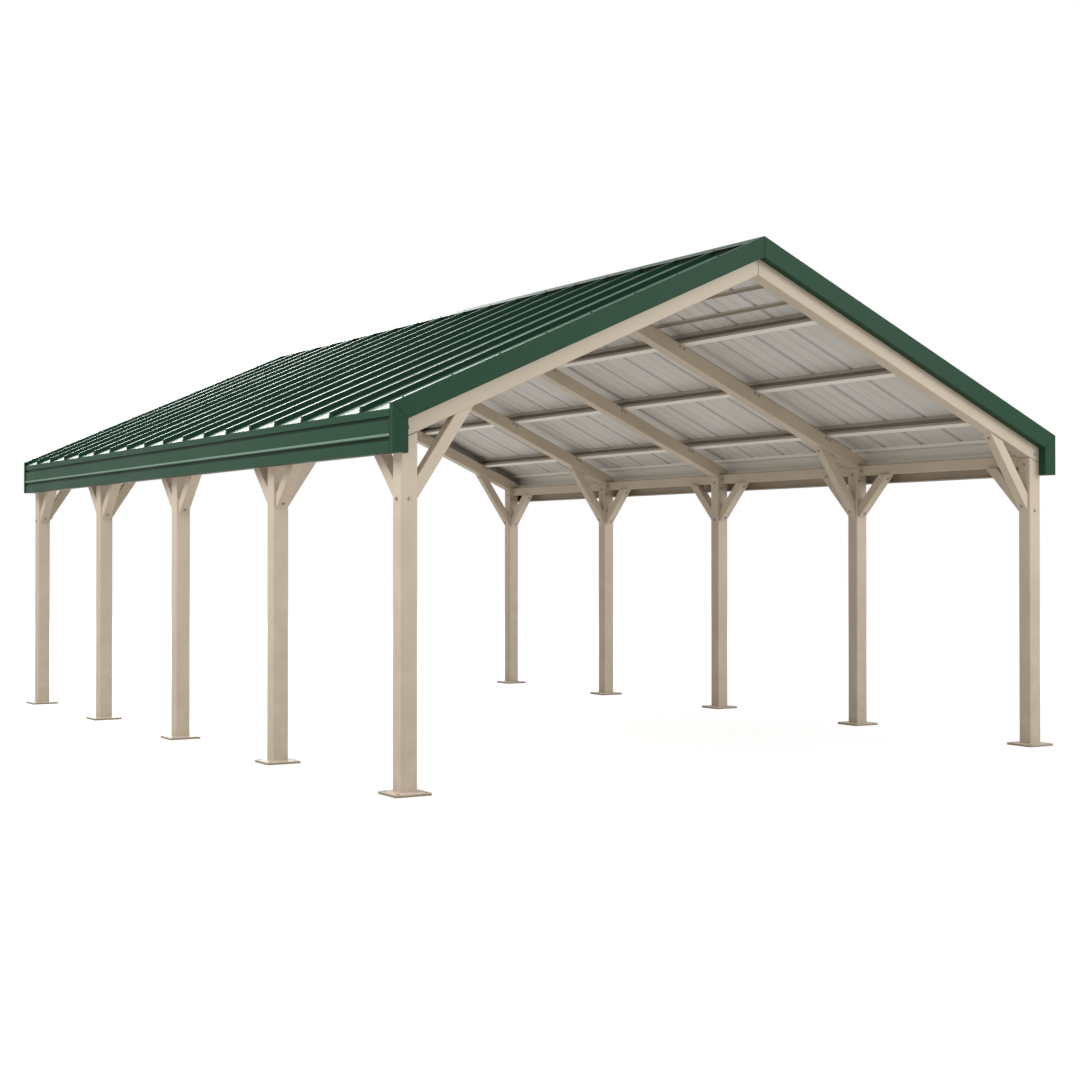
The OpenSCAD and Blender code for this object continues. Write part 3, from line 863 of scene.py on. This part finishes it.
POST_RADIUS = 0.010
FOOT_BEAD = 0.004
TOP_BEAD = 0.003
FOOT_RIPPLE = 0.12
TOP_RIPPLE = 0.15
beads = []
tops = []
for side in SIDES.values():
    for n in POSTS:
        plan = square_path(POST / 2, POST_RADIUS, side * RUN, post_y[n])
        foot = np.column_stack([plan, np.full(len(plan), PLATE_TOP)])
        beads.append(bead(foot, FOOT_BEAD, FOOT_BEAD, [0, 0, 1], True, FOOT_RIPPLE))
        top = np.column_stack([plan, slope_z(plan[:, 0], 0.0)])
        tops.append(bead(top, TOP_BEAD, TOP_BEAD, [0, 0, 1], True, TOP_RIPPLE))
make_piece("post_foot_welds", *joined(beads), BEIGE, "frame_beige")
make_piece("post_top_joints", *joined(tops), JOINT_DIRT, "frame_beige")

# %% [markdown]
# Seams
#
# Where two trims or two rafters meet in a mitre, a thin line shows, and so it does where a corner trim laps
# the eave trim. A dark line in the paint would do from far away, but a flat bead also catches light at its
# edge. On the trims it is dark sealant, on the rafters a slim weld that has been ground down and keeps a
# little dirt.


# %% Draw the seams
def straight(start, end, steps=24):
    """Evenly spaced points from start to end."""
    share = np.linspace(0, 1, steps)[:, None]
    return (1 - share) * np.asarray(start, float) + share * np.asarray(end, float)


RAKE_LAP = 0.007
RAKE_LOW_W = RAFTER_DEPTH - RAKE_LAP
SEAM = (0.0028, 0.0010)
GROUND_WELD = (0.0032, 0.0012)
WELD_RIPPLE = 0.1
CORNER_WIDE = 0.120
CORNER_FOLD = 0.046
corner_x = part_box("front_right_corner_trim")[1].x
trim_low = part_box("front_right_corner_trim")[0].z
corner_in = corner_x - CORNER_WIDE
seams = []
for gable in (-1, 1):
    y = gable * GABLE_Y
    low, high = slope_z(0.0, RAKE_LOW_W), slope_z(0.0, CROWN_W)
    seams.append(bead(straight([0, y, low], [0, y, high]), *SEAM, [0, gable, 0], False))
    inner = gable * FRAME_Y
    seams.append(bead(straight([0, inner, low], [0, y, low]), *SEAM, [0, 0, -1], False))
    for side in SIDES.values():
        start = [side * corner_in, y, slope_z(corner_in, RAKE_LOW_W)]
        end = [side * corner_x, y, slope_z(corner_x, CROWN_W)]
        seams.append(bead(straight(start, end), *SEAM, [0, gable, 0], False))
        fold_y = y - gable * CORNER_FOLD
        start = [side * corner_x, fold_y, trim_low]
        end = [side * corner_x, fold_y, slope_z(corner_x, PAN_W)]
        seams.append(bead(straight(start, end), *SEAM, [side, 0, 0], False))
make_piece("trim_seams", *joined(seams), SEALANT, "roof_green")

seams = []
for n in POSTS:
    low, high = slope_z(0.0, 0.0), slope_z(0.0, RAFTER_DEPTH)
    for way in (-1, 1):
        y = post_y[n] + way * POST / 2
        upright = straight([0, y, low], [0, y, high])
        seams.append(bead(upright, *GROUND_WELD, [0, way, 0], False, WELD_RIPPLE))
    ends = straight([0, post_y[n] - POST / 2, low], [0, post_y[n] + POST / 2, low])
    seams.append(bead(ends, *GROUND_WELD, [0, 0, -1], False, WELD_RIPPLE))
make_piece("ridge_joints", *joined(seams), JOINT_DIRT, "frame_beige")

# %% [markdown]
# Foam closures
#
# Open ribs would let birds and wind under the roof. At the eave a soft foam plug with the rib's own outline
# closes each rib. At the ridge the gaps lie between the ribs, under the cap, and a strip of foam with the
# opposite outline fills each one. They could be cut from the sheet by Booleans, but each is only an outline
# of four sides carried a short way up the slope.


# %% Close the sheet ends
def closure(side, feet, crowns, low, high, end_x, long):
    """A four-sided block on the slope: feet and crowns are its places along Y at its low and high level."""
    along = np.array([feet[1], crowns[1], crowns[0], feet[0]])[::side]
    level = np.array([low, high, high, low])[::side]
    end_u = slope_u(end_x, level)
    rings = [slope_point(side, end_u - back, along, level) for back in (long, 0.0)]
    return np.vstack(rings), [grid_faces(2, 4, False), end_faces(2, 4)]


HALF_CROWN = 0.026 / 2
HALF_FOOT = 0.052 / 2
SNUG = 0.0015
PLUG_LONG = 0.040
STRIP_LONG = 0.025
EAVE_BACK = 0.004
CAP_BACK = 0.020
UNDER_CROWN = 0.002
eave_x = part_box("right_roof_panels")[1].x - EAVE_BACK
cap_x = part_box("ridge_cap")[1].x - CAP_BACK
edges = np.concatenate([[-GABLE_Y - HALF_CROWN], rib_y, [GABLE_Y + HALF_CROWN]])
plugs, strips = [], []
for side in SIDES.values():
    for y in rib_y:
        feet = (y - HALF_FOOT + SNUG, y + HALF_FOOT - SNUG)
        crowns = (y - HALF_CROWN + SNUG, y + HALF_CROWN - SNUG)
        plugs.append(closure(side, feet, crowns, PAN_W, CROWN_W - UNDER_CROWN, eave_x, PLUG_LONG))
    for before, after in zip(edges[:-1], edges[1:]):
        feet = (before + HALF_FOOT, after - HALF_FOOT)
        crowns = (before + HALF_CROWN, after - HALF_CROWN)
        strips.append(closure(side, feet, crowns, PAN_W + SHEET, CROWN_W, cap_x, STRIP_LONG))
make_piece("eave_foam_plugs", *joined(plugs), SEALANT, "roof_green")
make_piece("ridge_foam_strips", *joined(strips), SEALANT, "roof_green")

# %% [markdown]
# Gloss of the pans
#
# The flat pans keep the gloss of the lacquer under a film of dust, which rain washes down the slope in
# faint streaks; their paler green is partly that dust and partly a painted sheen. Seen at a low angle
# against the light, such a pan turns almost white. A pale colour would be wrong from every other side, so
# most of the pale look is left to the shader's own gloss and to a lamp behind the roof.

# %% Make the finish of the pans
DUST_AND_SHEEN_GREEN = (0.032, 0.082, 0.052)
LACQUER_TINT = (0.82, 1.0, 0.89)
LACQUER_IOR = 1.9


def glossy_pan():
    """The coil's green with paler streaks of dust and painted sheen, under a strong but soft gloss of a
    greenish tint.
    """
    material, tree, shader = new_material("glossy_pan", roughness=0.5, specular=0.5)
    shader.inputs["IOR"].default_value = LACQUER_IOR
    shader.inputs["Specular Tint"].default_value = (*LACQUER_TINT, 1.0)
    cloud = use(tree, CLOUDS, Size=0.9)
    streak = use(tree, STREAKS, Fineness=1.0)
    face, _ = coil_tones(tree, cloud.outputs["Clouds"], streak.outputs["Upslope"])
    # Paler streaks, partly dust and partly a painted sheen.
    dust_and_sheen = spread(tree, streak.outputs["Upslope"], 0.2, 0.8)
    tree.links.new(blend(tree, dust_and_sheen, face, DUST_AND_SHEEN_GREEN), shader.inputs["Base Color"])
    tree.links.new(spread(tree, streak.outputs["Upslope"], 0.46, 0.56), shader.inputs["Roughness"])
    bump(tree, shader, cloud.outputs["Clouds"], depth=0.0015, strength=0.35)
    return material


PAN_GLOSS = glossy_pan()
print("finish:", PAN_GLOSS.name)

# %% [markdown]
# Pans with stiffening lines
#
# A wide flat pan would drum in the wind, so two low swages are rolled into each one between the ribs. A
# bump in the material would vanish at a low angle, so the lines are real: the top of each pan is a thin
# skin whose profile has a round rise at each third. The profile is carried down the slope from the ridge
# cap to the eave.

# %% Lay the pans
SWAGE_HIGH = 0.002
SKIN = 0.0003
HALF_PITCH = 0.250
pan_half = HALF_PITCH - HALF_FOOT
swage = np.linspace(-LINE_HALF, LINE_HALF, 5)
top_y = np.concatenate([[-pan_half], swage - LINE_STEP / 2, swage + LINE_STEP / 2, [pan_half]])
raised = np.concatenate([[0.0], *[np.cos(swage / LINE_HALF * math.pi / 2)] * 2, [0.0]]) * SWAGE_HIGH
loop_y = np.concatenate([top_y, [pan_half, -pan_half]])
loop_w = PAN_W + SHEET + np.concatenate([raised + SKIN, [-SHEET / 2, -SHEET / 2]])


def pan_skin(side, y):
    """The pan's profile at the ridge cap and at the eave, joined into a flat closed shell about y."""
    along, level = y + loop_y[::-side], loop_w[::-side]
    rings = [slope_point(side, slope_u(x, level), along, level) for x in (cap_x, eave_x)]
    return np.vstack(rings), [grid_faces(2, len(along), False), end_faces(2, len(along))]


pan_middles = np.linspace(-GABLE_Y, GABLE_Y, RIBS + 2)[:-1] + HALF_PITCH
skins = [pan_skin(side, y) for side in SIDES.values() for y in pan_middles]
make_piece("roof_pans", *joined(skins), PAN_GLOSS, "roof_green")

# %% [markdown]
# The floor and the light
#
# The carport stands on a plain pale floor in a bright studio. A white floor under strong lamps would throw
# light up and flatten the undersides. So the floor shines a little by itself where the camera sees it,
# which keeps shadows faint, but throws little light up. The dome is white all round. One large lamp stands
# before the gable, and another hangs high at the left, where the roof keeps its light off the inside. A
# third, behind the building, draws the gloss out of the pans.

# %% Set the stage
FLOOR_HALF = 60.0
FLOOR_TONES = ((0.29, 0.29, 0.29), (0.31, 0.31, 0.31))
FLOOR_GLOW = (0.78, 0.78, 0.78)
FLOOR_BOUNCE = (0.37, 0.35, 0.32)
WHITE = (1.0, 1.0, 1.0, 1.0)
DOME = 0.72


def pale_floor():
    """A large flat square with faint clouds of tone, brighter to the camera than to the part."""
    mesh = bpy.data.meshes.new("floor")
    corners = FLOOR_HALF * np.array([(-1, -1, 0), (1, -1, 0), (1, 1, 0), (-1, 1, 0)])
    mesh.from_pydata(corners.tolist(), [], [(0, 1, 2, 3)])
    floor = bpy.data.objects.new("floor", mesh)
    bpy.context.scene.collection.objects.link(floor)
    material, tree, shader = new_material("pale_floor", roughness=0.9, specular=0.1)
    cloud = use(tree, CLOUDS, Size=0.6)
    tone = blend(tree, cloud.outputs["Clouds"], *FLOOR_TONES)
    tree.links.new(tone, shader.inputs["Base Color"])
    seen = add(tree, "ShaderNodeLightPath").outputs["Is Camera Ray"]
    tree.links.new(blend(tree, seen, FLOOR_BOUNCE, FLOOR_GLOW), shader.inputs["Emission Color"])
    shader.inputs["Emission Strength"].default_value = 1.0
    mesh.materials.append(material)


def studio_world():
    """White where the camera sees it, and softer for the light that falls on the part."""
    world = bpy.data.worlds.new("studio")
    bpy.context.scene.world = world
    world.use_nodes = True
    tree = world.node_tree
    dome = tree.nodes["Background"]
    dome.inputs["Color"].default_value = WHITE
    dome.inputs["Strength"].default_value = DOME
    seen = add(tree, "ShaderNodeBackground", Strength=1.0)
    seen.inputs["Color"].default_value = WHITE
    mix = add(tree, "ShaderNodeMixShader")
    tree.links.new(add(tree, "ShaderNodeLightPath").outputs["Is Camera Ray"], mix.inputs["Fac"])
    tree.links.new(dome.outputs[0], mix.inputs[1])
    tree.links.new(seen.outputs[0], mix.inputs[2])
    tree.links.new(mix.outputs[0], tree.nodes["World Output"].inputs["Surface"])


def soft_lamp(name, place, target, size, power):
    """A square lamp at a place, turned so that it faces the target."""
    lamp = bpy.data.lights.new(name, "AREA")
    lamp.size = size
    lamp.energy = power
    stand = bpy.data.objects.new(name, lamp)
    bpy.context.scene.collection.objects.link(stand)
    away = np.array(target) - np.array(place)
    stand.location = place
    stand.rotation_euler = (
        math.atan2(math.hypot(away[0], away[1]), -away[2]), 0.0, -math.atan2(away[0], away[1]))
    print(name, "at", place)


pale_floor()
studio_world()
soft_lamp("front_lamp", (12.0, -21.0, 7.0), (0.0, -2.0, 1.8), size=10.0, power=1800.0)
soft_lamp("left_lamp", (-14.0, -3.0, 13.0), (-3.0, 0.0, 1.5), size=10.0, power=1850.0)
soft_lamp("back_lamp", (4.0, 26.0, 14.0), (0.0, 1.0, 3.0), size=12.0, power=5500.0)

# %% [markdown]
# The camera
#
# The camera stands at the left of the front gable near eye height, and looks almost level along the row. It
# could be set by eye, but lines that run together in a photograph fix its place and its lens, so both were
# worked out from those. The focal length is in pixels: how many one metre covers from one metre away.

# %% Set the camera
CAMERA_PLACE = (-8.473, -15.025, 1.617)
CAMERA_YAW = math.radians(31.55)
CAMERA_TILT = math.radians(0.53)
FOCAL_PIXELS = 1760.0
PHOTO_PIXELS = 1080.0
camera = bpy.data.cameras.new("camera")
camera.sensor_width = 36.0
camera.lens = FOCAL_PIXELS / PHOTO_PIXELS * camera.sensor_width
camera.clip_end = 300.0
stand = bpy.data.objects.new("camera", camera)
bpy.context.scene.collection.objects.link(stand)
stand.location = CAMERA_PLACE
stand.rotation_euler = (math.pi / 2 + CAMERA_TILT, 0.0, -CAMERA_YAW)
bpy.context.scene.camera = stand
bpy.context.scene.view_settings.view_transform = "Standard"
print("lens", camera.lens)
